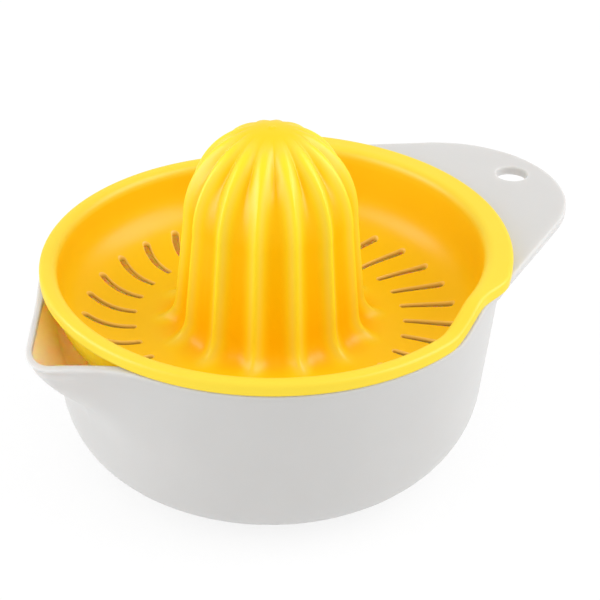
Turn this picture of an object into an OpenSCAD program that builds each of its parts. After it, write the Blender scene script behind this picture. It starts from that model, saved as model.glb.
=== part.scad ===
// Citrus juicer: a strainer insert with a fluted reamer, resting in a bowl with a spout and a handle.
// +Z is up, +X points along the handle, and the spout points along -X.
// The origin is on the bowl's axis, on the surface that the bowl stands on.

/* [Bowl] */
// Outer radius of the wall at the low rim
bowl_r = 63.4; // [54:0.1:80]
// Height of the low rim
bowl_h = 56; // [50:0.5:80]
// Thickness of the wall
bowl_wall = 2; // [1.4:0.1:3]
// Thickness of the floor
floor_t = 2.4; // [1.6:0.1:5]
// Lean of the wall, inward towards the base, in degrees
wall_lean = 3.4; // [0:0.1:8]
// Outer rounding between the wall and the base
base_round = 25; // [8:0.5:32]

/* [Raised rim] */
// Height of the raised rim on the handle's side above the low rim
rim_step = 5.6; // [2:0.1:9]
// Half angle of the raised rim, measured from the handle
step_high = 62; // [50:1:64]
// Half angle at which the ramp has come down to the low rim
step_low = 76; // [70:1:88]

/* [Handle] */
// Distance from the axis to the handle's tip
handle_reach = 98.6; // [90:0.1:130]
// Radius of the handle's rounded end
handle_end_r = 35; // [22:0.5:40]
// Thickness of the handle plate
handle_t = 3; // [2:0.1:5]
// Distance from the handle's tip to the middle of the hanging hole
hole_inset = 10.4; // [8:0.1:14]
// Radius of the hanging hole
hole_r = 4.8; // [2:0.1:7]

/* [Spout] */
// Distance from the axis to the spout's tip
spout_reach = 75.2; // [70:0.1:90]
// Distance from the axis to where the spout's edge leaves the rim's level
spout_start = 59; // [56:0.5:62]
// Drop of the tip below the low rim
spout_drop = 6.4; // [2:0.1:8]
// Depth below the low rim at which the spout runs into the wall
spout_depth = 24; // [14:0.5:28]
// Radius of the rounded nose
nose_r = 11; // [7:0.5:16]

/* [Strainer dish] */
// Thickness of the insert's wall
insert_wall = 1.5; // [1.2:0.1:2.2]
// Gap between the insert's wall and the inside of the bowl
wall_gap = 0.4; // [0.3:0.1:1.5]
// Height of the dish floor above the table
dish_floor = 39.5; // [30:0.5:44]
// Number of strainer slots
slot_count = 30; // [16:1:36]
// Width of a slot
slot_w = 1.8; // [1:0.1:2.6]
// Distance from the axis to the slots' inner ends
slot_from = 38.7; // [37:0.1:42]
// Distance from the axis to the slots' outer ends
slot_to = 52.8; // [46:0.1:54]
// Turn of a slot's outer end past its inner end, in degrees
slot_turn = -5; // [-12:0.5:12]

/* [Insert rim] */
// Thickness of the rim above its seat
rim_t = 3.8; // [2:0.1:5]
// Width of the rim beyond the bowl's wall, on the low side
lip_low = 1; // [0.5:0.1:3]
// Width of the rim beyond the bowl's wall, on the handle's side
lip_high = 4.1; // [1:0.1:7]
// Turn over which the rim widens, above the ramp, in degrees
lip_turn = 12; // [6:1:30]
// Rounding of the rim's edges
rim_round = 1.4; // [0.5:0.1:1.5]
// Gap between the insert and the bowl along the ramps
ramp_gap = 0.5; // [0.3:0.1:1]

/* [Reamer] */
// Height of the reamer's apex above the table
apex_h = 99.4; // [88:0.1:120]
// Height of the shoulder where the rounded cap begins
shoulder_h = 72; // [62:0.5:80]
// Radius over the ridges at the shoulder
shoulder_r = 24.3; // [20:0.1:27]
// Lean of the ridges below the shoulder, in degrees
ridge_lean = 5.7; // [2:0.1:8]
// Radius of the fillet between the reamer and the dish
foot_r = 8; // [4:0.5:9]
// Number of flutes
flute_count = 14; // [8:1:18]
// Depth of the flutes
flute_depth = 2.3; // [0.8:0.1:3]
// Turn of the first ridge from the handle, in degrees
ridge_turn = -5; // [-12:0.5:12]

/* [Hidden] */
$fn = 96;

// How far a cutting tool runs past the solid that it cuts.
past = 1;

// Levels of the bowl's rim and of the handle plate.
high_z = bowl_h + rim_step;
handle_z = high_z - handle_t;

// The wall's outer and inner radius at a height, along its lean.
function wall_out(z) = bowl_r + (z - bowl_h) * tan(wall_lean);
function wall_in(z) = wall_out(z) - bowl_wall / cos(wall_lean);

// A smooth step from 0 to 1.
function ease(t) = let (s = min(1, max(0, t))) s * s * (3 - 2 * s);

// Angle from the handle, to either side.
function off_handle(a) = abs(a > 180 ? a - 360 : a);

// How far the rim has climbed, from 0 on the low side to 1 on the handle's side.
function climb(a) = ease((step_low - off_handle(a)) / (step_low - step_high));

// The handle's end circle, its hole, and the angle at which its tangents leave the wall.
handle_r = wall_out(high_z);
handle_end_x = handle_reach - handle_end_r;
hole_x = handle_reach - hole_inset;
tangent_a = acos((handle_r - handle_end_r) / handle_end_x);

// Steps of the cut that lowers the rim, on a ramp and along the low side.
ramp_steps = 8;
low_steps = 16;

// The spout's levels, the wall's radius at its edge, its lap into the wall and its reach behind the wall.
spout_low = bowl_h - spout_depth;
spout_edge = bowl_h - spout_drop;
spout_top_r = wall_out(spout_edge);
root_lap = bowl_wall / 4;
spout_back = 3 * bowl_wall;
spout_steps = 6;

// The nose's share of its radius where the spout runs into the wall, and the power that bends the edge.
nose_share = 0.4;
nose_steps = 6;
edge_power = 1.2;

// Radii of the insert's wall and rim.
insert_out_r = wall_in(bowl_h) - wall_gap;
insert_in_r = insert_out_r - insert_wall;
insert_low = dish_floor - insert_wall;
function rim_out(a) = bowl_r + lip_low + (lip_high - lip_low) * ease((step_high - off_handle(a)) / lip_turn);

// The foot's fillet: it touches the dish floor and the leaning ridges.
foot_z = dish_floor + foot_r;
foot_x = shoulder_r + (shoulder_h - foot_z) * tan(ridge_lean) + foot_r / cos(ridge_lean);

// Radii on the cap between which the flutes fade in from the apex, and the power that makes the ridges narrow.
fade_from = 5;
fade_to = 17;
ridge_power = 2.2;

// The dish's section is a superellipse from its floor to its wall, which ends just below the seat.
dish_power = 2.8;
seat_drop = 1;
dish_top = bowl_h - seat_drop;
function dish_z(t, wall) =
    dish_floor - wall + (dish_top - dish_floor + wall) * (1 - pow(1 - pow(t, dish_power), 1 / dish_power));

// Steps along each stretch of the insert's section, and around it.
cap_steps = 7;
foot_steps = 3;
dish_steps = 6;
flute_steps = 6;
ramp_splits = 2;

// Radius of the small flat on the apex.
nib_r = 1;

// Closes a stack of rings into a solid. Each ring has as many points, and runs anticlockwise from above.
module skin(rings) {
    n = len(rings[0]);
    last = len(rings) - 1;
    polyhedron(
        points = [for (ring = rings) each ring],
        faces = concat(
            [[for (j = [0 : n - 1]) j]],
            [for (i = [0 : last - 1]) for (j = [0 : n - 1])
                let (k = (j + 1) % n) each [
                    [i * n + j, (i + 1) * n + j, (i + 1) * n + k],
                    [i * n + j, (i + 1) * n + k, i * n + k]
                ]],
            [[for (j = [n - 1 : -1 : 0]) last * n + j]]
        )
    );
}

// Half section of the bowl: a leaning wall and a flat floor joined by an arc, from a bottom to a top level.
module bowl_section(wall, bottom, top) {
    round_r = base_round - wall;
    round_z = bottom + round_r;
    round_x = wall_out(round_z) - wall / cos(wall_lean) - round_r / cos(wall_lean);
    translate([round_x, round_z]) circle(round_r);
    polygon([
        [0, bottom],
        [round_x, bottom],
        [round_x, round_z],
        [round_x + round_r * cos(wall_lean), round_z - round_r * sin(wall_lean)],
        [wall_out(top) - wall / cos(wall_lean), top],
        [0, top]
    ]);
}

// Plan of the handle: tangents from the wall to a round end.
module handle_plan() {
    polygon([
        [0, 0],
        handle_r * [cos(tangent_a), -sin(tangent_a)],
        [handle_end_x, 0] + handle_end_r * [cos(tangent_a), -sin(tangent_a)],
        [handle_end_x, 0] + handle_end_r * [cos(tangent_a), sin(tangent_a)],
        handle_r * [cos(tangent_a), sin(tangent_a)]
    ]);
    translate([handle_end_x, 0]) circle(handle_end_r);
}

// Level of the rim along a ramp of the bowl, which stays a gap below the insert's ramp.
function ramp_z(t) =
    max(bowl_h, high_z + ramp_gap / 5 - (rim_step + ramp_gap / 5) * ease(t) - ramp_gap * sin(180 * t));

// Takes the raised rim away from everything but the handle's side. Its ramps lead the insert's.
module rim_cut() {
    lead = 5 * ramp_gap / handle_r * 180 / PI;
    near = insert_in_r - spout_back;
    far = spout_reach + 2 * past;
    above = high_z + 2 * past;
    ramp = step_low - step_high;
    low_start = step_low - lead;
    low_turn = 360 - 2 * low_start;
    cuts = concat(
        [for (i = [0 : ramp_steps - 1]) let (t = i / ramp_steps) [step_high - lead + ramp * t, ramp_z(t)]],
        [for (i = [0 : low_steps]) [low_start + low_turn * i / low_steps, bowl_h]],
        [for (i = [ramp_steps - 1 : -1 : 0])
            let (t = i / ramp_steps) [360 - step_high + lead - ramp * t, ramp_z(t)]]
    );
    skin([for (cut = cuts)
        let (out = [cos(cut[0]), sin(cut[0])])
        [
            [each near * out, cut[1]],
            [each near * out, above],
            [each far * out, above],
            [each far * out, cut[1]]
        ]]);
}

// One level of the spout: tangents from the wall to a round nose, which reaches further out towards the edge.
function spout_ring(z, wall) =
    let (t = min(1, (z - spout_low) / (spout_edge - spout_low)))
    let (root = wall_out(z) - bowl_wall / 2 - wall)
    let (reach = root + root_lap + (spout_reach - spout_top_r - root_lap + bowl_wall / 2) * t)
    let (nose = nose_r * (nose_share + (1 - nose_share) * t) - wall)
    let (turn = acos((root - nose) / (reach - nose)))
    let (back = root - spout_back)
    [
        each [for (i = [0 : nose_steps])
            let (a = turn * (1 - 2 * i / nose_steps))
            [nose - reach - nose * cos(a), nose * sin(a), z]],
        [-root * cos(turn), -root * sin(turn), z],
        [-back * cos(turn), -back * sin(turn), z],
        [-back * cos(turn), back * sin(turn), z],
        [-root * cos(turn), root * sin(turn), z]
    ];

module spout_form(wall) {
    levels = [for (i = [0 : spout_steps]) spout_low + (spout_edge - spout_low) * i / spout_steps];
    skin([for (z = concat(levels, [bowl_h + past])) spout_ring(z, wall)]);
}

// Slopes the spout's edge down from the rim to the tip.
module spout_top_cut() {
    run = spout_reach - spout_start;
    rotate([90, 0, 0]) linear_extrude(2 * bowl_r, center = true)
        polygon(concat(
            [for (i = [0 : spout_steps])
                let (t = i / spout_steps) [-spout_start - run * t, bowl_h - spout_drop * pow(t, edge_power)]],
            [
                [-spout_reach - past, spout_edge],
                [-spout_reach - past, high_z + past],
                [-spout_start, high_z + past]
            ]
        ));
}

module bowl() {
    color("gainsboro") difference() {
        union() {
            rotate_extrude() bowl_section(0, 0, high_z);
            translate([0, 0, handle_z]) linear_extrude(handle_t) handle_plan();
            spout_form(0);
        }
        rotate_extrude() bowl_section(bowl_wall, floor_t, high_z + past);
        spout_form(bowl_wall);
        rim_cut();
        spout_top_cut();
        translate([hole_x, 0, handle_z - past]) cylinder(h = handle_t + 2 * past, r = hole_r);
    }
}

// Depth of the flutes at an angle and at a radius over the ridges, as a share of their full depth.
function flute(a, r) =
    let (u = (a - ridge_turn) * flute_count / 360)
    (1 - pow(abs(1 - 2 * (u - floor(u))), ridge_power)) * ease((r - fade_from) / (fade_to - fade_from));

// Section of one skin of the insert, from the apex to the dish's wall: radius, height and the share of fluting.
function cap_line(wall) = [for (i = [0 : cap_steps])
    let (b = 90 * i / cap_steps)
    [max(nib_r, (shoulder_r - wall) * sin(b)), shoulder_h + (apex_h - wall - shoulder_h) * cos(b), 1]];
function foot_line(wall) = [for (i = [0 : foot_steps])
    let (t = i / foot_steps)
    let (b = 180 + ridge_lean + t * (90 - ridge_lean))
    [foot_x + (foot_r + wall) * cos(b), foot_z + (foot_r + wall) * sin(b), 1 - ease(t)]];
function dish_line(wall) = [for (i = [1 : dish_steps])
    let (t = sin(90 * i / dish_steps))
    [foot_x + (insert_in_r + wall - foot_x) * t, dish_z(t, wall), 0]];
function skin_line(wall) = concat(cap_line(wall), foot_line(wall), dish_line(wall));

// A point of that section, turned to an angle and drawn in by the flutes.
function turned(p, a) = let (r = p[0] - flute_depth * p[2] * flute(a, p[0])) [r * cos(a), r * sin(a), p[1]];

// Section of the rim at an angle, from its seat on the bowl round to its inner edge.
function rim_line(a) =
    let (seat = bowl_h + rim_step * climb(a))
    let (top = seat + rim_t)
    let (out = rim_out(a))
    let (cut = rim_round * (1 - sin(45)))
    [
        [insert_out_r, seat],
        [out, seat],
        [out, top - rim_round],
        [out - cut, top - cut],
        [out - rim_round, top],
        [insert_in_r + rim_round, top],
        [insert_in_r + cut, top - cut],
        [insert_in_r, top - rim_round]
    ];

// Angles around the insert: even steps along the flutes, split again on the rim's ramps.
step_a = 360 / (flute_count * flute_steps);
angles = [for (i = [0 : flute_count * flute_steps - 1])
    let (a = (ridge_turn + i * step_a + 360) % 360)
    let (off = off_handle(a + step_a / 2))
    let (splits = off > step_high - lip_turn && off < step_low + step_a ? ramp_splits : 1)
    each [for (k = [0 : splits - 1]) a + k * step_a / splits]];

module insert_shell() {
    under = skin_line(insert_wall);
    over = skin_line(0);
    m = len(over) - 1;
    skin(concat(
        [for (p = under) [for (a = angles) turned(p, a)]],
        [for (i = [0 : 7]) [for (a = angles) let (p = rim_line(a)[i]) [p[0] * cos(a), p[0] * sin(a), p[1]]]],
        [for (i = [0 : m]) [for (a = angles) turned(over[m - i], a)]]
    ));
}

// One strainer slot with round ends, from its inner to its outer end.
module slot() {
    tip = slot_to * [cos(slot_turn), sin(slot_turn)] - [slot_from, 0];
    translate([slot_from, 0, insert_low - past]) rotate([0, 0, atan2(tip[1], tip[0])])
        linear_extrude(dish_top - insert_low) {
            circle(slot_w / 2);
            translate([norm(tip), 0]) circle(slot_w / 2);
            translate([0, -slot_w / 2]) square([norm(tip), slot_w]);
        }
}

module reamer_insert() {
    color("gold") difference() {
        insert_shell();
        for (i = [0 : slot_count - 1]) rotate([0, 0, i * 360 / slot_count]) slot();
    }
}

bowl();
reamer_insert();
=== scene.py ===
"""Citrus juicer: a white bowl with a spout and a handle, and a yellow reamer insert that rests in it.

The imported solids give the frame. Both pieces are built again here as smooth closed shells with rounded
edges. They take their places and overall sizes from the solids that they stand for. Sizes are in
millimetres, and angles in degrees from the handle.
"""

import logging
import math
from collections.abc import Callable, Sequence
from dataclasses import dataclass, replace
from enum import Enum, IntEnum
from typing import ClassVar

import bmesh
import bpy
import numpy as np
from mathutils import Matrix, Vector

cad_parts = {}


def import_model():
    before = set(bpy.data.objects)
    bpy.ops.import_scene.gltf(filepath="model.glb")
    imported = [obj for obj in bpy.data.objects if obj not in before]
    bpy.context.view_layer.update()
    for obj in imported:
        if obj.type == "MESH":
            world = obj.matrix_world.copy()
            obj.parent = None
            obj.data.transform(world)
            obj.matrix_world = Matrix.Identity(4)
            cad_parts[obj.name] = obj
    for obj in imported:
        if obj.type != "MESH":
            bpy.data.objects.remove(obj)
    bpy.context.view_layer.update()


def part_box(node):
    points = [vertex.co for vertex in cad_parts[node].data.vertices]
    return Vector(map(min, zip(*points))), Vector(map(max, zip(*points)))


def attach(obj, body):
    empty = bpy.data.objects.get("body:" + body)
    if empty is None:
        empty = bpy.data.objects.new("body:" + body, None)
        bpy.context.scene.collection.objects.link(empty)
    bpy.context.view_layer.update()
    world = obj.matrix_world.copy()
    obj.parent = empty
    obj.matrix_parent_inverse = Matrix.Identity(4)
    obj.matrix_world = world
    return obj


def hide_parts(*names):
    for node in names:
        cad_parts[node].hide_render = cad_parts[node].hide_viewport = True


LOG = logging.getLogger("juicer")
MM = 0.001
# Name of the point attribute that carries the level of painted light and shade for the colour ramps.
PAINTED_SHADE_ATTRIBUTE = "hollow"

Line = list[np.ndarray]
Plan = Callable[[np.ndarray], np.ndarray]
Colour = tuple[float, float, float]
Term = bpy.types.NodeSocket | float


class Body(Enum):
    """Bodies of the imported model."""

    BOWL = "bowl"
    INSERT = "insert"


class Node(Enum):
    """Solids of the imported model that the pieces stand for."""

    BOWL = "bowl"
    INSERT = "reamer_insert"


class Slot(Enum):
    """Material slots of the record."""

    BOWL = "bowl_plastic"
    INSERT = "insert_plastic"


class Coat(IntEnum):
    """Places of the finishes on a piece."""

    OUTER = 0
    INNER = 1
    CUT = 2


def ease(t: np.ndarray) -> np.ndarray:
    """Smooth step from 0 to 1."""
    s = np.clip(t, 0.0, 1.0)
    return s * s * (3.0 - 2.0 * s)


def smooth_max(a: np.ndarray, b: np.ndarray, blend: float) -> np.ndarray:
    """Larger of two values, with the corner between them blended.

    Args:
        a: First value.
        b: Second value.
        blend: Difference below which the two blend.

    Returns:
        The blended maximum.
    """
    near = np.clip(blend - np.abs(a - b), 0.0, None) / blend
    return np.maximum(a, b) + near * near * blend / 4.0


def soften(t: np.ndarray, size: float) -> np.ndarray:
    """Rounds the corner at 0 of a value that runs from 0 to 1, and keeps both ends."""
    return (np.hypot(t, size) - size) / (math.hypot(1.0, size) - size)


def off_axis(angle: np.ndarray, axis: float) -> np.ndarray:
    """Turn from an axis to either side, in degrees."""
    return np.abs((angle - axis + 180.0) % 360.0 - 180.0)


def tangent_plan(off: np.ndarray, root: np.ndarray, reach: np.ndarray, end: np.ndarray) -> np.ndarray:
    """Radius of an outline that leaves a circle along two tangents and closes with a round end.

    Args:
        off: Turn from the outline's axis, in degrees.
        root: Radius of the circle round the origin.
        reach: Distance from the origin to the tip.
        end: Radius of the round end.

    Returns:
        Distance from the origin to the outline.
    """
    turn = np.arccos(np.clip((root - end) / (reach - end), -1.0, 1.0))
    middle = reach - end
    b = np.radians(off)
    touch = np.arctan2(end * np.sin(turn), middle + end * np.cos(turn))
    arc = middle * np.cos(b) + np.sqrt(np.clip(end**2 - (middle * np.sin(b)) ** 2, 0.0, None))
    flank = root / np.cos(np.clip(turn - b, 0.0, None))
    return np.where(b < touch, arc, flank)


def rounded_corner(before: Line, corner: Line, after: Line, trim: np.ndarray, steps: int) -> list[Line]:
    """Rounds one corner of a section, for all columns at once.

    Args:
        before: Radius and height of the point before the corner.
        corner: Radius and height of the corner.
        after: Radius and height of the point after the corner.
        trim: Distance from the corner at which the rounding starts and ends.
        steps: Number of steps along the rounding.

    Returns:
        Radius and height of each point of the rounding.
    """
    ends = []
    for other in (before, after):
        run = [other[0] - corner[0], other[1] - corner[1]]
        length = np.hypot(run[0], run[1])
        ends.append([corner[0] + run[0] * trim / length, corner[1] + run[1] * trim / length])
    points = []
    for s in np.linspace(0.0, 1.0, steps + 1):
        a, b, c = (1.0 - s) ** 2, 2.0 * s * (1.0 - s), s**2
        points.append([a * ends[0][k] + b * corner[k] + c * ends[1][k] for k in (0, 1)])
    return points


def between(first: Line, last: Line, shares: Sequence[float]) -> list[Line]:
    """Points on the straight line between two points of a section, at shares of its length."""
    return [[first[k] + (last[k] - first[k]) * s for k in (0, 1)] for s in shares]


class Shell:
    """Closed skin of rings round the Z axis, which holes may pierce."""

    APPROACH: ClassVar[tuple[float, ...]] = (0.45, 0.8, 0.95, 1.0)
    EDGE_TURNS: ClassVar[tuple[float, ...]] = (22.5, 45.0, 67.5, 90.0)

    def __init__(self, rings: np.ndarray, poles: tuple[float, float], hollow: np.ndarray, far: int) -> None:
        """Joins rings and two points on the axis.

        Args:
            rings: Points of all rings, as rows, columns and coordinates.
            poles: Heights of the points on the axis before the first ring and after the last one.
            hollow: How deep each ring point lies in a hollow, from 0 to 1, which sets the painted shade of
                its colour.
            far: First row of the far side, which has the inner finish.
        """
        rows, columns = rings.shape[:2]
        ends = np.array([[0.0, 0.0, poles[0]], [0.0, 0.0, poles[1]]])
        self.points = [rings.reshape(-1, 3), ends]
        self.hollow = [hollow.ravel(), np.zeros(2)]
        self.grid = np.arange(rows * columns).reshape(rows, columns)
        self.count = rows * columns + 2
        self.closed = np.ones((rows - 1, columns), bool)
        side = np.where(np.arange(rows - 1) >= far, Coat.INNER, Coat.OUTER)
        self.sides = np.repeat(side[:, None], columns, 1)
        self.quads: list[np.ndarray] = []
        self.cuts: list[np.ndarray] = []
        first, last = self.grid[0], self.grid[-1]
        tip = rows * columns
        self.fans = [
            np.stack([np.full(columns, tip), np.roll(first, -1), first], 1),
            np.stack([np.full(columns, tip + 1), last, np.roll(last, -1)], 1),
        ]

    def border(self, rows: Sequence[int], first: int, wide: int) -> np.ndarray:
        """Indices round a patch of the rings.

        Args:
            rows: Rows of the patch, in order along it.
            first: First column of the patch.
            wide: Number of columns that it spans.

        Returns:
            Indices along the first row, up the last column, back along the last row and down the first
            column.
        """
        rows = np.asarray(rows)
        columns = (first + np.arange(wide + 1)) % self.grid.shape[1]
        return np.concatenate(
            [
                self.grid[rows[0], columns[:-1]],
                self.grid[rows[:-1], columns[-1]],
                self.grid[rows[-1], columns[:0:-1]],
                self.grid[rows[:0:-1], columns[0]],
            ]
        )

    def pierce(
        self,
        skins: tuple[Sequence[int], Sequence[int]],
        first: int,
        wide: int,
        outline: Callable[[float], np.ndarray],
        surfaces: tuple[Plan, Plan],
        edge: float,
        finishes: tuple[Coat, Coat, Coat],
    ) -> None:
        """Cuts a hole with rounded edges through two skins.

        Args:
            skins: Rows of the patch on the upper and on the lower skin, in the same order.
            first: First column of the patch.
            wide: Number of columns that it spans.
            outline: Gives the hole's plan, widened by an offset, point by point with the patch's border.
            surfaces: Heights of the upper and of the lower skin over a plan.
            edge: Radius of the rounded edges.
            finishes: Finishes of the upper skin, of the hole's wall and of the lower skin.
        """
        loops: list[np.ndarray] = []
        for side, (rows, surface) in enumerate(zip(skins, surfaces)):
            low, high = min(rows), max(rows)
            columns = (first + np.arange(wide)) % self.grid.shape[1]
            self.closed[np.ix_(np.arange(low, high), columns)] = False
            border = self.border(rows, first, wide)
            start = self.points[0][border][:, :2]
            sink = -1.0 if side == 0 else 1.0
            hollow = self.hollow[0][border]
            stack = [border]
            for share in self.APPROACH:
                plan = start + (outline(edge) - start) * share
                stack.append(self.add(plan, surface(plan), hollow))
            for turn in np.radians(self.EDGE_TURNS):
                plan = outline(edge * (1.0 - math.sin(turn)))
                stack.append(self.add(plan, surface(plan) + sink * edge * (1.0 - math.cos(turn)), hollow))
            loops += stack if side == 0 else stack[::-1]
        lip = len(loops) // 2 - len(self.EDGE_TURNS)
        for i, (upper, lower) in enumerate(zip(loops, loops[1:])):
            zone = int(i >= lip) + int(i >= len(loops) - 1 - lip)
            self.quads.append(np.stack([upper, np.roll(upper, -1), np.roll(lower, -1), lower], 1))
            self.cuts.append(np.full(len(upper), finishes[zone]))

    def add(self, plan: np.ndarray, height: np.ndarray, hollow: np.ndarray) -> np.ndarray:
        """Adds a loop of points.

        Args:
            plan: Plan of the points.
            height: Heights of the points.
            hollow: How deep each point lies in a hollow, from 0 to 1, which sets the painted shade of its
                colour.

        Returns:
            Indices of the new points.
        """
        self.points.append(np.column_stack([plan, height]))
        self.hollow.append(hollow)
        indices = self.count + np.arange(len(plan))
        self.count += len(plan)
        return indices

    def make(self, name: str) -> bpy.types.Object:
        """Makes the object, in metres, smooth and facing outward.

        Args:
            name: Name of the piece.

        Returns:
            The new object, linked to the scene.
        """
        a, b = self.grid[:-1], self.grid[1:]
        cells = np.stack([a, np.roll(a, -1, 1), np.roll(b, -1, 1), b], -1)[self.closed]
        fans = np.concatenate(self.fans)
        faces = np.concatenate([cells, *self.quads]).tolist() + fans.tolist()
        ends = np.repeat([Coat.OUTER, Coat.INNER], len(fans) // 2)
        finish = np.concatenate([self.sides[self.closed], *self.cuts, ends])
        points = np.concatenate(self.points) * MM
        mesh = bpy.data.meshes.new(name)
        mesh.from_pydata(points.tolist(), [], faces)
        # Stores the level of painted light and shade on each point.
        depth = mesh.attributes.new(PAINTED_SHADE_ATTRIBUTE, "FLOAT", "POINT")
        depth.data.foreach_set("value", np.concatenate(self.hollow))
        mesh.polygons.foreach_set("material_index", finish)
        work = bmesh.new()
        work.from_mesh(mesh)
        bmesh.ops.delete(work, geom=[v for v in work.verts if not v.link_faces], context="VERTS")
        bmesh.ops.recalc_face_normals(work, faces=work.faces)
        for face in work.faces:
            face.smooth = True
        work.to_mesh(mesh)
        work.free()
        piece = bpy.data.objects.new(name, mesh)
        bpy.context.scene.collection.objects.link(piece)
        return piece


@dataclass
class Bowl:
    """White bowl: round wall, pouring spout, stepped rim and flat handle with a hanging hole."""

    COLUMN_STOPS: ClassVar[tuple[tuple[float, float, int], ...]] = (
        (0.0, 4.5, 6),
        (4.5, 21.5, 17),
        (21.5, 58.0, 36),
        (58.0, 80.0, 44),
        (80.0, 130.0, 50),
        (130.0, 180.0, 110),
    )
    HOLE_COLUMNS: ClassVar[int] = 12
    HOLE_ROWS: ClassVar[int] = 9
    HOLE_SPAN: ClassVar[tuple[float, float]] = (0.5, 0.93)
    PLATE_START: ClassVar[tuple[float, ...]] = (0.02, 0.25)
    PLATE_END: ClassVar[tuple[float, ...]] = (0.985,)
    EDGE_SHARES: ClassVar[tuple[float, ...]] = (0.3, 0.7)
    FLOOR_SHARES: ClassVar[tuple[float, ...]] = (0.25, 0.5, 0.75, 0.93)

    reach: float
    spout_reach: float
    high_z: float
    rim_r: float = 63.4
    rim_z: float = 56.0
    wall: float = 2.0
    floor: float = 2.4
    lean: float = 3.4
    base_round: float = 25.0
    step_high: float = 59.75
    step_low: float = 73.75
    ramp_gap: float = 0.5
    plate: float = 3.0
    end_r: float = 35.0
    hole_inset: float = 10.4
    hole_r: float = 4.8
    hole_edge: float = 0.5
    spout_start: float = 59.0
    spout_drop: float = 6.4
    spout_depth: float = 24.0
    spout_lap: float = 0.5
    nose_r: float = 11.0
    nose_share: float = 0.4
    edge_power: float = 1.2
    spout_swell: float = 0.1
    outer_blend: float = 5.0
    inner_blend: float = 0.4
    blend_run: float = 8.0
    full: float = 0.8
    full_from: float = 18.0
    flat: float = 3.2
    flat_turn: float = 24.0
    flat_z: float = 25.5
    flat_height: float = 9.0
    top_round: float = 0.8
    inner_round: float = 0.6
    plate_fillet: float = 1.2
    plate_from: float = 1.2
    band: float = 1.4
    lead: float = 1.5
    wall_steps: int = 30
    bend_steps: int = 18
    fillet_steps: int = 5
    rim_steps: int = 6
    edge_passes: int = 6
    gap_share: float = 0.25
    rise_share: float = 0.3

    @classmethod
    def from_frame(cls) -> "Bowl":
        """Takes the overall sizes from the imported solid."""
        low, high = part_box(Node.BOWL.value)
        return cls(reach=high.x / MM, spout_reach=-low.x / MM, high_z=high.z / MM)

    def wall_r(self, z: np.ndarray) -> np.ndarray:
        """Outer radius of the leaning wall at a height."""
        return self.rim_r + (z - self.rim_z) * math.tan(math.radians(self.lean))

    def spout_r(self, off: np.ndarray, z: np.ndarray, inset: float) -> np.ndarray:
        """Radius of the spout's form.

        Args:
            off: Turn from the spout's axis, in degrees.
            z: Height.
            inset: Distance of this skin inside the outer one.

        Returns:
            Distance from the axis to the spout's skin.
        """
        low = self.rim_z - self.spout_depth
        edge = self.rim_z - self.spout_drop
        rise = (z - low) / (edge - low)
        t = np.clip(rise, 0.0, 1.0)
        t = t + self.spout_swell * np.sin(math.pi * t)
        root = self.wall_r(z) - self.wall / 2.0 - inset
        grow = self.spout_reach - self.wall_r(edge) - self.spout_lap + self.wall / 2.0
        nose = self.nose_r * (self.nose_share + (1.0 - self.nose_share) * t) - inset
        plan = tangent_plan(off, root, root + self.spout_lap + grow * t, nose)
        return plan + grow * np.minimum(rise, 0.0)

    def flatten(self, angle: np.ndarray, z: np.ndarray) -> np.ndarray:
        """How far the wall lies inside its circle, where it flattens under the spout."""
        side = np.exp(-((off_axis(angle, 180.0) / self.flat_turn) ** 2))
        return self.flat * side * np.exp(-(((z - self.flat_z) / self.flat_height) ** 2))

    def swell(self, z: np.ndarray) -> np.ndarray:
        """How far the outer skin stands out from the leaning wall, towards the rim."""
        return self.full * ease((z - self.full_from) / (self.rim_z - self.full_from))

    def skin_r(self, angle: np.ndarray, z: np.ndarray, inner: bool) -> np.ndarray:
        """Radius of the wall with the spout.

        Args:
            angle: Angle from the handle, in degrees.
            z: Height.
            inner: Whether this is the inner skin.

        Returns:
            Distance from the axis to the skin.
        """
        off = off_axis(angle, 180.0)
        inset = self.wall if inner else 0.0
        blend = self.inner_blend if inner else self.outer_blend
        wall = self.wall_r(z) - inset / math.cos(math.radians(self.lean)) - self.flatten(angle, z)
        if not inner:
            wall = wall + self.swell(z)
        spout = self.spout_r(off, z, inset)
        plain = self.spout_r(np.full_like(off, 180.0), z, inset)
        extra = smooth_max(wall, plain, blend) - wall
        return smooth_max(wall, spout, blend) - extra * (1.0 - ease((spout - plain) / self.blend_run))

    def rim_level(self, angle: np.ndarray) -> np.ndarray:
        """Height of the rim, from the raised side down the ramps to the low side.

        Args:
            angle: Angle from the handle, in degrees.

        Returns:
            Height of the rim's top face.
        """
        t = (off_axis(angle, 0.0) - self.step_high) / (self.step_low - self.step_high)
        ramp = np.clip(t, 0.0, 1.0)
        level = self.high_z - (self.high_z - self.rim_z) * ease(t)
        return np.maximum(level - self.ramp_gap * np.sin(math.pi * ramp), self.rim_z)

    def top(self, angle: np.ndarray, inner: bool) -> Line:
        """Top corner of the wall, which follows the spout's edge down.

        Args:
            angle: Angle from the handle, in degrees.
            inner: Whether this is the inner skin.

        Returns:
            Radius and height of the corner.
        """
        z = self.rim_level(angle)
        for _ in range(self.edge_passes):
            radius = self.skin_r(angle, z, inner)
            run = -radius * np.cos(np.radians(angle)) - self.spout_start
            t = np.clip(run / (self.spout_reach - self.spout_start), 0.0, 1.0)
            z = self.rim_level(angle) - self.spout_drop * t**self.edge_power
        return [radius, z]

    def columns(self) -> np.ndarray:
        """Spaces the columns, closer where the hole, the ramps and the spout are.

        Returns:
            Angles of the columns, from one side of the hole on.
        """
        half = np.concatenate([np.linspace(a, b, n, endpoint=False) for a, b, n in self.COLUMN_STOPS])
        return np.roll(np.concatenate([half, [180.0], 360.0 - half[:0:-1]]), self.HOLE_COLUMNS // 2)

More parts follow.
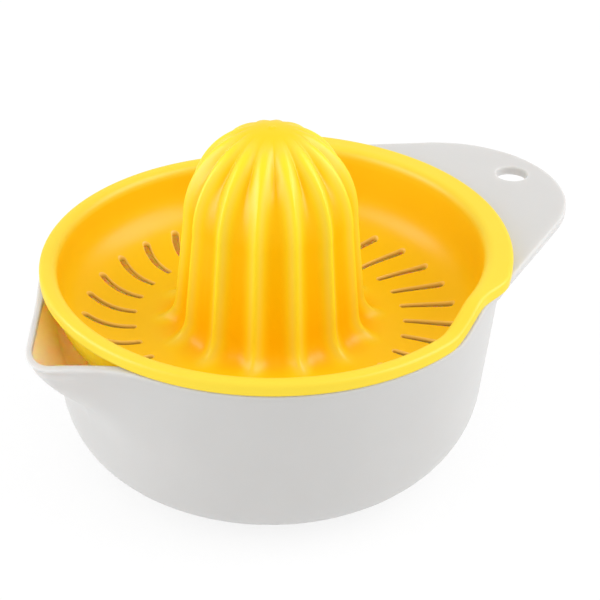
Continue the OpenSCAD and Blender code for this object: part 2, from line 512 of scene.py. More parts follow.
    def skin_rows(self, angle: np.ndarray, top_z: np.ndarray, inner: bool) -> list[Line]:
        """Floor, rounding and wall of one skin, up to a height.

        Args:
            angle: Angle of each column, in degrees.
            top_z: Height at which the wall ends.
            inner: Whether this is the inner skin.

        Returns:
            Radius and height of each row.
        """
        lean = math.radians(self.lean)
        bend = self.base_round - (self.wall if inner else 0.0)
        low = self.floor if inner else 0.0
        middle = self.wall_r(np.array(low + bend)) - self.base_round / math.cos(lean)
        flat = np.ones_like(angle)
        rows = [[flat * middle * s, flat * low] for s in self.FLOOR_SHARES]
        for turn in np.linspace(-math.pi / 2.0, -lean, self.bend_steps)[:-1]:
            z = flat * (low + bend * (1.0 + math.sin(turn)))
            full = 0.0 if inner else self.swell(z)
            rows.append([middle + bend * math.cos(turn) - self.flatten(angle, z) + full, z])
        start_z = low + bend * (1.0 - math.sin(lean))
        for s in np.linspace(0.0, 1.0, self.wall_steps):
            z = start_z + (top_z - start_z) * s
            rows.append([self.skin_r(angle, z, inner), z])
        return rows

    def build(self) -> bpy.types.Object:
        """Builds the bowl.

        Returns:
            The bowl's object, in metres.
        """
        angle = self.columns()
        outer = self.top(angle, False)
        inner = self.top(angle, True)
        root = self.skin_r(np.array(0.0), np.array(self.high_z), False)
        plan = tangent_plan(off_axis(angle, 0.0), root, np.array(self.reach), np.array(self.end_r))
        stand = np.where(off_axis(angle, 0.0) < 90.0, plan - root, 0.0)
        under_z = outer[1] - self.plate
        under = [self.skin_r(angle, under_z, False), under_z]
        lift = (self.plate - self.band) * (1.0 - ease(stand / self.plate_from))
        low_edge = [under[0] + stand, under_z + lift]
        high_edge = [outer[0] + stand, outer[1]]
        below = [self.skin_r(angle, under_z - self.lead, False), under_z - self.lead]
        lead_in = [self.skin_r(angle, inner[1] - self.lead, True), inner[1] - self.lead]
        gap = np.hypot(low_edge[0] - under[0], low_edge[1] - under[1])
        rise = high_edge[1] - low_edge[1]
        fillet = np.minimum(self.plate_fillet, self.gap_share * gap)
        low_round = np.minimum(np.minimum(self.top_round, self.gap_share * gap), self.rise_share * rise)
        high_round = np.full_like(angle, self.top_round)
        inner_round = np.full_like(angle, self.inner_round)
        span = np.linspace(*self.HOLE_SPAN, self.HOLE_ROWS)
        shares = np.concatenate([self.PLATE_START, span, self.PLATE_END])
        foot = rounded_corner(below, under, low_edge, fillet, self.fillet_steps)
        low_turn = rounded_corner(under, low_edge, high_edge, low_round, self.fillet_steps)
        high_turn = rounded_corner(low_edge, high_edge, inner, high_round, self.rim_steps)
        brim = rounded_corner(high_edge, inner, lead_in, inner_round, self.fillet_steps)
        rows = self.skin_rows(angle, foot[0][1], False)[:-1] + foot
        lower = [len(rows) + len(self.PLATE_START) + i for i in range(self.HOLE_ROWS)]
        rows += between(foot[-1], low_turn[0], shares) + low_turn
        rows += between(low_turn[-1], high_turn[0], self.EDGE_SHARES) + high_turn
        back = [1.0 - s for s in shares[::-1]]
        upper = [len(rows) + self.HOLE_ROWS - i for i in range(self.HOLE_ROWS)]
        rows += between(high_turn[-1], brim[0], back) + brim
        inside = len(rows)
        rows += self.skin_rows(angle, brim[-1][1], True)[-2::-1]
        radius = np.array([row[0] for row in rows])
        height = np.array([row[1] for row in rows])
        turn = np.radians(angle)
        rings = np.stack([radius * np.cos(turn), radius * np.sin(turn), height], -1)
        shell = Shell(rings, (0.0, self.floor), np.zeros_like(height), inside)
        top_z, bottom_z = self.high_z, self.high_z - self.plate
        shell.pierce(
            (upper, lower),
            0,
            self.HOLE_COLUMNS,
            self.hole_outline,
            (lambda p: np.full(len(p), top_z), lambda p: np.full(len(p), bottom_z)),
            self.hole_edge,
            (Coat.OUTER, Coat.OUTER, Coat.OUTER),
        )
        return shell.make("bowl_shell")

    def hole_outline(self, offset: float) -> np.ndarray:
        """Plan of the hanging hole, in step with its patch's border.

        Args:
            offset: Distance by which the hole is widened.

        Returns:
            Points round the hole.
        """
        counts = (self.HOLE_COLUMNS, self.HOLE_ROWS - 1) * 2
        turns = [225.0 - 90.0 * (k + np.arange(n) / n) for k, n in enumerate(counts)]
        turn = np.radians(np.concatenate(turns))
        radius = self.hole_r + offset
        middle = self.reach - self.hole_inset
        return np.column_stack([middle + radius * np.cos(turn), radius * np.sin(turn)])

    def dress(self, piece: bpy.types.Object) -> None:
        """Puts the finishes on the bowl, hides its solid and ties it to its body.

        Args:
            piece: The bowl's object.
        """
        for finish in (BOWL_FINISH, INSIDE_PAINTED_LIGHT_FINISH):
            piece.data.materials.append(finish.make())
        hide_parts(Node.BOWL.value)
        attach(piece, Body.BOWL.value)


@dataclass
class ReamerInsert:
    """Yellow insert: fluted reamer, slotted strainer dish and stepped rim in one moulding."""

    GATE_PROFILE: ClassVar[tuple[tuple[float, float], ...]] = (
        (0.4, 1.0),
        (0.75, 0.95),
        (0.95, 0.6),
        (1.05, 0.2),
        (1.25, 0.0),
    )
    WALL_SHARES: ClassVar[tuple[float, ...]] = (0.3, 0.75)
    RIM_SHARES: ClassVar[tuple[float, ...]] = (0.12, 0.5, 0.88)

    apex_z: float
    wall: float = 1.5
    out_r: float = 60.997
    in_r: float = 59.497
    dish_floor: float = 39.5
    dish_top: float = 55.0
    dish_power: float = 2.8
    slot_count: int = 30
    slot_w: float = 1.6
    slot_flare: float = 0.2
    slot_bow: float = 1.0
    slot_from: float = 39.2
    slot_to: float = 52.2
    slot_turn: float = -5.0
    slot_edge: float = 0.6
    patch_from: float = 35.88
    patch_to: float = 54.4
    rim_z: float = 56.0
    rim_step: float = 5.6
    step_high: float = 62.0
    step_low: float = 76.0
    rim_t: float = 3.8
    rim_r: float = 64.39
    lip: float = 3.1
    lip_turn: float = 12.0
    rim_rounds: tuple[float, ...] = (2.8, 1.4, 1.0, 0.35)
    shoulder_z: float = 72.0
    shoulder_r: float = 24.3
    ridge_lean: float = 5.7
    foot_r: float = 8.0
    flute_count: int = 14
    flute_depth: float = 2.3
    ridge_turn: float = -4.0
    ridge_round: float = 0.12
    valley_round: float = 0.2
    broad_power: float = 2.2
    narrow_power: float = 1.8
    fade_from: float = 5.0
    fade_to: float = 19.0
    lobe_from: float = 14.0
    lobe_to: float = 25.5
    foot_keep: float = 0.3
    # Levels of painted light and shade on the colour ramp: a paler rim, a deeper cap and dish, and the runs
    # over which the painted shade deepens down the inner wall and onto the dish.
    rim_painted_light: float = 0.3
    dish_painted_shade: float = 0.74
    cap_painted_shade: float = 0.6
    dish_shade_run: float = 8.0
    wall_shade_from: float = 0.8
    wall_shade_fall: float = 3.0
    wall_shade_lap: float = 1.0
    wall_shade_blend: float = 0.8
    gate_r: float = 1.1
    gate_h: float = 0.2
    gate_clear: float = 1.7
    half_columns: int = 15
    patch_rows: int = 11
    skirt_rows: int = 6
    upper_rows: tuple[int, ...] = (34, 15, 17, 13)
    lower_rows: tuple[int, ...] = (18, 9, 12, 9)
    rim_steps: tuple[int, ...] = (8, 8, 4, 4)

    @classmethod
    def from_frame(cls) -> "ReamerInsert":
        """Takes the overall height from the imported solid."""
        return cls(apex_z=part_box(Node.INSERT.value)[1].z / MM)

    @property
    def foot(self) -> tuple[float, float]:
        """Centre of the fillet between the reamer and the dish.

        Returns:
            Its radius and height.
        """
        lean = math.radians(self.ridge_lean)
        z = self.dish_floor + self.foot_r
        flank = self.shoulder_r + (self.shoulder_z - z) * math.tan(lean)
        return flank + self.foot_r / math.cos(lean), z

    def dish_z(self, radius: np.ndarray, inset: float) -> np.ndarray:
        """Height of the dish's skin.

        Args:
            radius: Distance from the axis.
            inset: Distance of this skin under the upper one.

        Returns:
            Height at each radius.
        """
        t = np.clip((radius - self.foot[0]) / (self.in_r + inset - self.foot[0]), 0.0, 1.0)
        bend = (1.0 - t**self.dish_power) ** (1.0 / self.dish_power)
        low = self.dish_floor - inset
        return low + (self.dish_top - low) * (1.0 - bend)

    def section(self, inset: float) -> tuple[np.ndarray, np.ndarray, np.ndarray, list[int]]:
        """Section of one skin, from the apex to the top of the dish's wall.

        Args:
            inset: Distance of this skin under the upper one.

        Returns:
            Radius, height and share of fluting of each row, and the rows that the slots' patch spans.
        """
        rows: list[tuple[float, float, float]] = []
        cap_rows, flank_rows, foot_rows, wall_rows = self.upper_rows if inset == 0.0 else self.lower_rows
        gate = self.gate_h if inset == 0.0 else 0.0
        cap_z = self.apex_z - self.gate_h - inset
        cap_r = self.shoulder_r - inset
        cap_h = cap_z - self.shoulder_z
        for share, lift in self.GATE_PROFILE:
            r = self.gate_r * share
            z = self.shoulder_z + cap_h * math.sqrt(1.0 - (r / cap_r) ** 2)
            rows.append((r, z + gate * lift, 0.0))
        start = math.asin(self.gate_clear * self.gate_r / cap_r)
        for turn in np.linspace(start, math.pi / 2.0, cap_rows):
            rows.append((cap_r * math.sin(turn), self.shoulder_z + cap_h * math.cos(turn), 1.0))
        foot_x, foot_z = self.foot
        bend = self.foot_r + inset
        lean = math.radians(self.ridge_lean)
        first = (foot_x - bend * math.cos(lean), foot_z - bend * math.sin(lean))
        for s in np.linspace(0.0, 1.0, flank_rows)[1:-1]:
            z = self.shoulder_z + (first[1] - self.shoulder_z) * s
            rows.append((cap_r + (first[0] - cap_r) * s, z, 1.0))
        for t in np.linspace(0.0, 1.0, foot_rows):
            turn = math.pi + lean + t * (math.pi / 2.0 - lean)
            fade = 1.0 - float(ease(np.array((t - self.foot_keep) / (1.0 - self.foot_keep))))
            rows.append((foot_x + bend * math.cos(turn), foot_z + bend * math.sin(turn), fade))
        patch = [len(rows) + i for i in range(self.patch_rows)]
        dish = list(np.linspace(self.patch_from, self.patch_to, self.patch_rows))
        edge = self.in_r + inset
        last = math.asin((self.patch_to - foot_x) / (edge - foot_x))
        turns = np.linspace(last, math.pi / 2.0, wall_rows)[1:]
        dish += [foot_x + (edge - foot_x) * math.sin(turn) for turn in turns]
        for r in dish:
            rows.append((r, float(self.dish_z(np.array(r), inset)), 0.0))
        values = np.array(rows)
        return values[:, 0], values[:, 1], values[:, 2], patch

    def shear(self, radius: np.ndarray) -> np.ndarray:
        """Turn of a column at a radius, in degrees, so that the columns run along the slots."""
        run = np.clip(radius, self.patch_from, self.patch_to) - self.patch_from
        return self.slot_turn * run / (self.slot_to - self.slot_from)

    def flute(self, angle: np.ndarray, radius: np.ndarray, share: np.ndarray) -> np.ndarray:
        """Depth of the flutes as a share of their full depth.

        Args:
            angle: Angle from the handle, in degrees.
            radius: Radius over the ridges.
            share: Share of fluting of the row.

        Returns:
            0 on a ridge and 1 at the bottom of a full valley.
        """
        u = (angle - self.ridge_turn) * self.flute_count / 360.0
        d = 1.0 - np.abs(1.0 - 2.0 * (u - np.floor(u)))
        d = 1.0 - soften(1.0 - soften(d, self.ridge_round), self.valley_round)
        broad = 1.0 - (1.0 - d) ** self.broad_power
        narrow = d**self.narrow_power
        blend = ease((radius - self.lobe_from) / (self.lobe_to - self.lobe_from))
        fade = ease((radius - self.fade_from) / (self.fade_to - self.fade_from))
        return share * fade * (narrow + (broad - narrow) * blend)

    def hollow(self, flute: np.ndarray, radius: np.ndarray) -> np.ndarray:
        """How deep the reamer and the dish lie, as a level of painted shade: deeper in the valleys, on the
        cap and on the dish.

        Args:
            flute: Depth of the flutes as a share of their full depth.
            radius: Distance from the axis.

        Returns:
            0 on the ridges and 1 in the valleys.
        """
        # Painted shade: deeper colour on the cap and on the dish, added to the flutes' valleys.
        cap = 1.0 - ease((radius - self.fade_from) / (self.lobe_from - self.fade_from))
        dish = ease((radius - self.foot[0] + self.dish_shade_run) / self.dish_shade_run)
        return np.clip(self.cap_painted_shade * cap + self.dish_painted_shade * dish + flute, 0.0, 1.0)

    def rim_painted_shade(self, radius: np.ndarray, level: np.ndarray) -> np.ndarray:
        """How deep the rim lies, from its edge down its inner wall, as a level of painted light and shade:
        paler at the edge, deeper down the wall.

        Args:
            radius: Distance of each point from the axis.
            level: Height of each point.

        Returns:
            The edge's value, and the dish's value down the wall.
        """
        below = np.where(radius < self.in_r + self.rim_rounds[0], level.max(0) - level, 0.0)
        fall = ease((below - self.wall_shade_from) / self.wall_shade_fall)
        wall = fall * ease((self.in_r + self.wall_shade_lap - radius) / self.wall_shade_blend)
        # Painted shade that deepens down the inner wall, from the rim's paler level.
        return self.rim_painted_light + (self.dish_painted_shade - self.rim_painted_light) * wall

    def rim_rows(self, angle: np.ndarray) -> list[Line]:
        """Rim from the top of the dish's wall, over its rounded edges, to its seat and the outer wall.

        Args:
            angle: Angle of each column, in degrees.

        Returns:
            Radius and height of each row.
        """
        off = off_axis(angle, 0.0)
        seat = self.rim_z + self.rim_step * ease((self.step_low - off) / (self.step_low - self.step_high))
        out = self.rim_r + self.lip * ease((self.step_high - off) / self.lip_turn)
        top = seat + self.rim_t
        flat = np.ones_like(angle)
        corners = [
            [flat * self.in_r, flat * self.dish_top],
            [flat * self.in_r, top],
            [out, top],
            [out, seat],
            [flat * self.out_r, seat],
            [flat * self.out_r, flat * self.dish_top],
        ]
        turns = [
            rounded_corner(corners[i], corners[i + 1], corners[i + 2], flat * trim, steps)
            for i, (trim, steps) in enumerate(zip(self.rim_rounds, self.rim_steps))
        ]
        stops = [[corners[0]]] + turns + [[corners[-1]]]
        rows: list[Line] = []
        for i, stop in enumerate(stops):
            rows += stop if 0 < i < len(stops) - 1 else []
            if i + 1 < len(stops):
                shares = self.WALL_SHARES if i == 0 else self.RIM_SHARES
                rows += between(stop[-1], stops[i + 1][0], shares)
        return rows

    def build(self) -> bpy.types.Object:
        """Builds the insert.

        Returns:
            The insert's object, in metres.
        """
        count = 2 * self.flute_count * self.half_columns
        base = self.ridge_turn + np.arange(count) * 360.0 / count
        parts: list[np.ndarray] = []
        painted_shade_masks: list[np.ndarray] = []
        patches: list[list[int]] = []
        for inset in (0.0, self.wall):
            radius, height, share, patch = self.section(inset)
            angle = base[None, :] + self.shear(radius)[:, None]
            depth = self.flute(angle, radius[:, None] + inset, share[:, None])
            run, fall = np.gradient(radius), np.gradient(height)
            length = np.hypot(run, fall)
            drawn = radius[:, None] + self.flute_depth * depth * (fall / length)[:, None]
            level = height[:, None] - self.flute_depth * depth * (run / length)[:, None]
            turn = np.radians(angle)
            parts.append(np.stack([drawn * np.cos(turn), drawn * np.sin(turn), level], -1))
            # Level of painted light and shade at each point, for the colour ramp.
            painted_shade_masks.append(self.hollow(depth, radius[:, None]))
            patches.append(patch)
        rim_angle = base + float(self.shear(np.array(self.patch_to)))
        rim = self.rim_rows(rim_angle)
        turn = np.radians(rim_angle)
        ring = np.stack([np.stack([r * np.cos(turn), r * np.sin(turn), z], -1) for r, z in rim])
        rings = np.concatenate([parts[0], ring, parts[1][::-1]])
        rim_painted_shade_mask = self.rim_painted_shade(np.stack([r for r, _ in rim]), np.stack([z for _, z in rim]))
        painted_shade_mask = np.concatenate([painted_shade_masks[0], rim_painted_shade_mask, painted_shade_masks[1][::-1]])
        total = len(rings)
        lower = [total - 1 - i for i in patches[1]]
        under = len(parts[0]) + len(rim) - self.skirt_rows
        shell = Shell(rings, (self.apex_z, self.apex_z - self.gate_h - self.wall), painted_shade_mask, under)
        surfaces = (
            lambda p: self.dish_z(np.hypot(p[:, 0], p[:, 1]), 0.0),
            lambda p: self.dish_z(np.hypot(p[:, 0], p[:, 1]), self.wall),
        )
        wide = count // self.slot_count
        skins = (patches[0], lower)
        coats = (Coat.OUTER, Coat.CUT, Coat.INNER)
        for i in range(self.slot_count):
            outline = self.slot_outline(i * 360.0 / self.slot_count, wide, len(patches[0]) - 1)
            shell.pierce(skins, i * wide, wide, outline, surfaces, self.slot_edge, coats)
        return shell.make("reamer_insert_shell")

    def slot_outline(self, angle: float, wide: int, long: int) -> Callable[[float], np.ndarray]:
        """Plan of one strainer slot.

        Args:
            angle: Angle of the slot's inner end, in degrees.
            wide: Number of points round each end.
            long: Number of points along each side.

        Returns:
            A function that gives the plan, widened by an offset, in step with the patch's border.
        """
        a, b = math.radians(angle), math.radians(angle + self.slot_turn)
        start = self.slot_from * np.array([math.cos(a), math.sin(a)])
        run = self.slot_to * np.array([math.cos(b), math.sin(b)]) - start
        length = float(np.hypot(run[0], run[1]))
        along = run / length
        across = np.array([-along[1], along[0]])
        end = np.arange(wide) / wide
        side = np.arange(long) / long
        inner = np.radians(-90.0 - 180.0 * end)
        outer = np.radians(90.0 - 180.0 * end)

        def outline(offset: float) -> np.ndarray:
            """Plan of the slot.

            Args:
                offset: Distance by which it is widened.

            Returns:
                Points round the slot.
            """
            near = self.slot_w / 2.0 - self.slot_flare / 2.0 + offset
            far = self.slot_w / 2.0 + self.slot_flare + offset
            half = near + (far - near) * side
            ends = near * np.cos(inner), length + far * np.cos(outer)
            u = np.concatenate([ends[0], length * side, ends[1], length * (1.0 - side)])
            v = np.concatenate([near * np.sin(inner), half, far * np.sin(outer), half - near - far])
            share = np.clip(u / length, 0.0, 1.0)
            bow = 4.0 * self.slot_bow * share * (1.0 - share)
            return start + u[:, None] * along + (v + bow)[:, None] * across

        return outline

    def dress(self, piece: bpy.types.Object) -> None:
        """Puts the finishes on the insert, hides its solid and ties it to its body.

        Args:
            piece: The insert's object.
        """
        for finish in (INSERT_FINISH, UNDERSIDE_PAINTED_SHADE_FINISH, SLOT_PAINTED_LIGHT_FINISH):
            piece.data.materials.append(finish.make())
        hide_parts(Node.INSERT.value)
        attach(piece, Body.INSERT.value)


class MouldedSurface:
    """Node group for a moulded plastic skin: flow marks, fine grain and uneven gloss."""

    NAME: ClassVar[str] = "moulded_surface"
    INPUTS: ClassVar[dict[str, float]] = {
        "Grain Size": 0.0004,
        "Flow Size": 0.012,
        "Roughness": 0.3,
        "Spread": 0.08,
        "Waviness": 0.2,
    }
    DETAIL: ClassVar[dict[str, float]] = {"Grain Size": 2.0, "Flow Size": 3.0}

    @classmethod
    def group(cls) -> bpy.types.NodeTree:
        """Builds the group once.

        Returns:
            The group's node tree.
        """
        if cls.NAME in bpy.data.node_groups:
            return bpy.data.node_groups[cls.NAME]
        tree = bpy.data.node_groups.new(cls.NAME, "ShaderNodeTree")
        for label, value in cls.INPUTS.items():
            socket = tree.interface.new_socket(label, in_out="INPUT", socket_type="NodeSocketFloat")
            socket.default_value = value
        for label in ("Flow", "Roughness", "Height"):
            tree.interface.new_socket(label, in_out="OUTPUT", socket_type="NodeSocketFloat")
        given = tree.nodes.new("NodeGroupInput")
        result = tree.nodes.new("NodeGroupOutput")
        place = tree.nodes.new("ShaderNodeTexCoord")
        noises = []
        for label, detail in cls.DETAIL.items():
            scale = cls.math(tree, "DIVIDE", 1.0, given.outputs[label])
            noise = tree.nodes.new("ShaderNodeTexNoise")
            noise.inputs["Detail"].default_value = detail
            tree.links.new(place.outputs["Object"], noise.inputs["Vector"])
            tree.links.new(scale, noise.inputs["Scale"])
            noises.append(noise.outputs["Fac"])
        grain, flow = noises
        swing = cls.math(tree, "SUBTRACT", flow, 0.5)
        gloss = cls.math(tree, "MULTIPLY", swing, given.outputs["Spread"])
        tree.links.new(cls.math(tree, "ADD", given.outputs["Roughness"], gloss), result.inputs["Roughness"])
        wave = cls.math(tree, "MULTIPLY", flow, given.outputs["Waviness"])
        tree.links.new(cls.math(tree, "ADD", grain, wave), result.inputs["Height"])
        tree.links.new(flow, result.inputs["Flow"])
        return tree

    @staticmethod
    def math(tree: bpy.types.NodeTree, operation: str, a: Term, b: Term) -> bpy.types.NodeSocket:
        """Adds a math node.

        Args:
            tree: Tree that it goes into.
            operation: Kind of sum.
            a: First value or socket.
            b: Second value or socket.

        Returns:
            Its output socket.
        """
        node = tree.nodes.new("ShaderNodeMath")
        node.operation = operation
        for socket, value in zip(node.inputs, (a, b)):
            if isinstance(value, bpy.types.NodeSocket):
                tree.links.new(value, socket)
            else:
                socket.default_value = value
        return node.outputs[0]


@dataclass(frozen=True)
class PlasticFinish:
    """Moulded plastic with a satin gloss, whose colour carries painted shade: it deepens in its hollows,
    where shade falls, by a ramp over the hollow attribute.
    """

    MIX_INPUTS: ClassVar[tuple[str, ...]] = ("Factor_Float", "A_Color", "B_Color")
    BUMP_DEPTH: ClassVar[float] = 0.00005

    name: str
    colours: tuple[tuple[float, Colour], ...]
    flow_tint: Colour
    roughness: float
    spread: float
    waviness: float
    bump: float
    gloss: float
    scatter: float = 0.0
    scatter_radius: Colour = (1.0, 1.0, 1.0)
    scatter_scale: float = 0.002

    def make(self) -> bpy.types.Material:
        """Makes the material.

        Returns:
            The new material.
        """
        material = bpy.data.materials.new(self.name)
        material.use_nodes = True
        tree = material.node_tree
        shader = tree.nodes["Principled BSDF"]
        surface = tree.nodes.new("ShaderNodeGroup")
        surface.node_tree = MouldedSurface.group()
        surface.inputs["Roughness"].default_value = self.roughness
        surface.inputs["Spread"].default_value = self.spread
        surface.inputs["Waviness"].default_value = self.waviness
        # Painted light and shade: the hollow attribute picks the colour from the ramp, deeper where shade
        # falls.
        depth = tree.nodes.new("ShaderNodeAttribute")
        depth.attribute_name = PAINTED_SHADE_ATTRIBUTE
        ramp = tree.nodes.new("ShaderNodeValToRGB")
        tree.links.new(depth.outputs["Fac"], ramp.inputs["Fac"])
        stops = ramp.color_ramp.elements
        while len(stops) < len(self.colours):
            stops.new(1.0)
        for stop, (place, colour) in zip(stops, self.colours):
            stop.position = place
            stop.color = (*colour, 1.0)
        marks = tree.nodes.new("ShaderNodeMix")
        marks.data_type = "RGBA"
        marks.blend_type = "MULTIPLY"
        ports = {socket.identifier: socket for socket in marks.inputs}
        factor, base, tint = (ports[key] for key in self.MIX_INPUTS)
        tree.links.new(surface.outputs["Flow"], factor)
        tree.links.new(ramp.outputs["Color"], base)
        tint.default_value = (*self.flow_tint, 1.0)
        mixed = next(o for o in marks.outputs if o.identifier == "Result_Color")
        tree.links.new(mixed, shader.inputs["Base Color"])
        tree.links.new(surface.outputs["Roughness"], shader.inputs["Roughness"])
        bump = tree.nodes.new("ShaderNodeBump")
        bump.inputs["Strength"].default_value = self.bump
        bump.inputs["Distance"].default_value = self.BUMP_DEPTH
        tree.links.new(surface.outputs["Height"], bump.inputs["Height"])
        tree.links.new(bump.outputs["Normal"], shader.inputs["Normal"])
        shader.inputs["Specular IOR Level"].default_value = self.gloss
        shader.inputs["Subsurface Weight"].default_value = self.scatter
        shader.inputs["Subsurface Radius"].default_value = self.scatter_radius
        shader.inputs["Subsurface Scale"].default_value = self.scatter_scale
        return material


BOWL_FINISH = PlasticFinish(
    name="white_moulded_plastic",
    colours=((0.0, (0.654, 0.648, 0.638)), (1.0, (0.654, 0.648, 0.638))),
    flow_tint=(0.97, 0.97, 0.97),
    roughness=0.35,
    spread=0.08,
    waviness=0.3,
    bump=0.12,
    gloss=0.2,
    scatter=1.0,
    scatter_radius=(1.0, 0.9, 0.85),
    scatter_scale=0.003,
)
# Painted light: the bowl's inside is a paler copy of its white plastic, with warm-tinted scattering on this
# side only, standing in for warm light bounced inside the bowl; the scattering itself is rendered.
INSIDE_PAINTED_LIGHT_FINISH = replace(
    BOWL_FINISH,
    name="white_moulded_plastic_inside_painted_light",
    colours=((0.0, (0.92, 0.89, 0.86)), (1.0, (0.92, 0.89, 0.86))),
    flow_tint=(0.98, 0.97, 0.96),
    scatter_radius=(1.0, 0.25, 0.05),
    scatter_scale=0.022,
)
# Painted light and shade: the ramp runs from the paler yellow of crests and rim to the deeper orange of
# valleys, dish and inner wall, where shade falls.
INSERT_FINISH = PlasticFinish(
    name="yellow_moulded_plastic",
    colours=(
        (0.0, (0.98, 0.80, 0.03)),
        (0.3, (0.95, 0.72, 0.06)),
        (0.7, (0.98, 0.66, 0.01)),
        (1.0, (0.99, 0.54, 0.0005)),
    ),
    flow_tint=(1.0, 0.97, 0.85),
    roughness=0.36,
    spread=0.06,
    waviness=0.3,
    bump=0.12,
    gloss=0.06,
)
# Painted shade: a deeper copy of the yellow plastic for the underside and the skirt below the rim, which
# lie in shade; its translucency is rendered.
UNDERSIDE_PAINTED_SHADE_FINISH = replace(
    INSERT_FINISH,
    name="yellow_moulded_plastic_underside_painted_shade",
    colours=((0.0, (0.96, 0.64, 0.03)), (1.0, (0.96, 0.60, 0.02))),
    scatter=1.0,
    scatter_radius=(1.0, 0.9, 0.15),
    scatter_scale=0.005,
)
# Painted light: a paler copy of the yellow plastic on the slots' walls, which stands in for light coming
# through the slots.
SLOT_PAINTED_LIGHT_FINISH = replace(
    INSERT_FINISH,
    name="yellow_moulded_plastic_slots_painted_light",
    colours=((0.0, (0.99, 0.70, 0.16)), (1.0, (0.99, 0.70, 0.16))),
)


@dataclass(frozen=True)
class Softbox:
    """Square lamp that faces a point on the object, with the power of its light and of its reflection."""

    name: str
    place: tuple[float, float, float]
    size: float
    power: float
    gleam: float


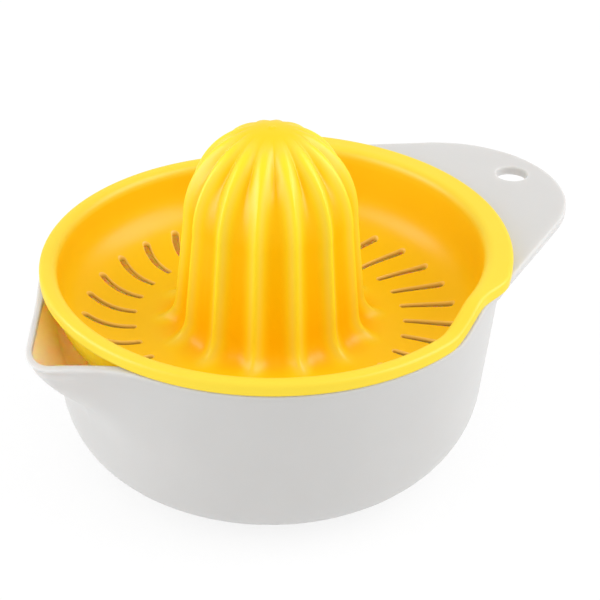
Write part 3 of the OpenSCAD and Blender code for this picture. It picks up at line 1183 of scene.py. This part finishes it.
@dataclass
class Studio:
    """Camera, pale floor and soft lights."""

    eye: tuple[float, float, float] = (-0.21416, -0.32492, 0.28414)
    azimuth: float = -34.649
    elevation: float = 31.566
    roll: float = 1.291
    lens: float = 96.0
    sensor: float = 36.0
    near: float = 0.01
    ambient: float = 0.88
    floor_size: float = 8.0
    floor_drop: float = 0.0002
    floor_tone: float = 0.9
    floor_glow: float = 0.8
    floor_white: float = 1.04
    aim: tuple[float, float, float] = (0.0, 0.0, 0.05)
    boxes: tuple[Softbox, ...] = (
        Softbox("softbox_left", (-0.776, 0.362, 0.328), 0.8, 2.7, 42.0),
        Softbox("softbox_right", (0.581, -0.454, 0.566), 0.8, 2.7, 42.0),
    )

    def build_camera(self) -> None:
        """Places the camera at the photograph's view."""
        a, e, r = (math.radians(v) for v in (self.azimuth, self.elevation, self.roll))
        back = Vector((math.sin(a) * math.cos(e), -math.cos(a) * math.cos(e), math.sin(e)))
        side = Vector((math.cos(a), math.sin(a), 0.0))
        up = back.cross(side)
        right = side * math.cos(r) + up * math.sin(r)
        top = up * math.cos(r) - side * math.sin(r)
        data = bpy.data.cameras.new("camera")
        data.sensor_fit = "HORIZONTAL"
        data.sensor_width = self.sensor
        data.lens = self.lens
        data.clip_start = self.near
        camera = bpy.data.objects.new("camera", data)
        turn = Matrix((right, top, back)).transposed().to_4x4()
        camera.matrix_world = Matrix.Translation(self.eye) @ turn
        bpy.context.scene.collection.objects.link(camera)
        bpy.context.scene.camera = camera

    @staticmethod
    def sight(tree: bpy.types.NodeTree) -> bpy.types.NodeSocket:
        """Finds the rays that show the surroundings.

        Args:
            tree: Tree that the nodes go into.

        Returns:
            1 for camera, glossy and transmission rays, and 0 for the rest.
        """
        rays = tree.nodes.new("ShaderNodeLightPath").outputs
        seen = MouldedSurface.math(tree, "ADD", rays["Is Camera Ray"], rays["Is Glossy Ray"])
        seen = MouldedSurface.math(tree, "ADD", seen, rays["Is Transmission Ray"])
        return MouldedSurface.math(tree, "MINIMUM", seen, 1.0)

    def build_floor(self) -> None:
        """Lays the floor, which shows white and keeps a faint shadow."""
        half = self.floor_size / 2.0
        mesh = bpy.data.meshes.new("floor")
        sides = ((-half, -half), (half, -half), (half, half), (-half, half))
        corners = [(x, y, -self.floor_drop) for x, y in sides]
        mesh.from_pydata(corners, [], [(0, 1, 2, 3)])
        floor = bpy.data.objects.new("floor", mesh)
        bpy.context.scene.collection.objects.link(floor)
        material = bpy.data.materials.new("pale_floor")
        material.use_nodes = True
        tree = material.node_tree
        tree.nodes.clear()
        output = tree.nodes.new("ShaderNodeOutputMaterial")
        paint = tree.nodes.new("ShaderNodeBsdfDiffuse")
        paint.inputs["Color"].default_value = (*[self.floor_tone] * 3, 1.0)
        glow = tree.nodes.new("ShaderNodeEmission")
        seen = tree.nodes.new("ShaderNodeMixShader")
        share = MouldedSurface.math(tree, "MULTIPLY", self.sight(tree), self.floor_glow)
        tree.links.new(share, seen.inputs[0])
        tree.links.new(paint.outputs[0], seen.inputs[1])
        tree.links.new(glow.outputs[0], seen.inputs[2])
        glow.inputs["Strength"].default_value = self.floor_white
        tree.links.new(seen.outputs[0], output.inputs["Surface"])
        mesh.materials.append(material)

    def hang(self, box: Softbox, power: float) -> bpy.types.Object:
        """Hangs one lamp.

        Args:
            box: Softbox that the lamp stands for.
            power: Power of the lamp, in watts.

        Returns:
            The lamp's object.
        """
        data = bpy.data.lights.new(box.name, "AREA")
        data.size = box.size
        data.energy = power
        lamp = bpy.data.objects.new(box.name, data)
        lamp.location = box.place
        aim = Vector(self.aim) - Vector(box.place)
        lamp.rotation_euler = aim.to_track_quat("-Z", "Y").to_euler()
        bpy.context.scene.collection.objects.link(lamp)
        return lamp

    def build_lights(self, gleaming: bpy.types.Object) -> None:
        """Hangs the soft lamps and sets the surroundings.

        Args:
            gleaming: Piece in which the lamps reflect.
        """
        reflecting = bpy.data.collections.new("reflecting")
        reflecting.objects.link(gleaming)
        for box in self.boxes:
            self.hang(box, box.power).visible_glossy = False
            gleam = self.hang(box, box.gleam)
            gleam.visible_diffuse = False
            gleam.light_linking.receiver_collection = reflecting
        world = bpy.data.worlds.new("studio")
        bpy.context.scene.world = world
        world.use_nodes = True
        tree = world.node_tree
        light = tree.nodes["Background"]
        light.inputs["Color"].default_value = (1.0, 1.0, 1.0, 1.0)
        strength = MouldedSurface.math(tree, "MAXIMUM", self.sight(tree), self.ambient)
        tree.links.new(strength, light.inputs["Strength"])


def main() -> None:
    """Builds the studio and both pieces."""
    logging.basicConfig(level=logging.INFO, format="%(name)s: %(message)s")
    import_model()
    bpy.context.scene.view_settings.view_transform = "Standard"
    studio = Studio()
    studio.build_camera()
    studio.build_floor()
    pieces: list[bpy.types.Object] = []
    for part in (Bowl.from_frame(), ReamerInsert.from_frame()):
        piece = part.build()
        part.dress(piece)
        pieces.append(piece)
        LOG.info("%s: %d points, %d faces", piece.name, len(piece.data.vertices), len(piece.data.polygons))
    studio.build_lights(pieces[-1])
    bpy.context.view_layer.update()


if __name__ == "__main__":
    main()
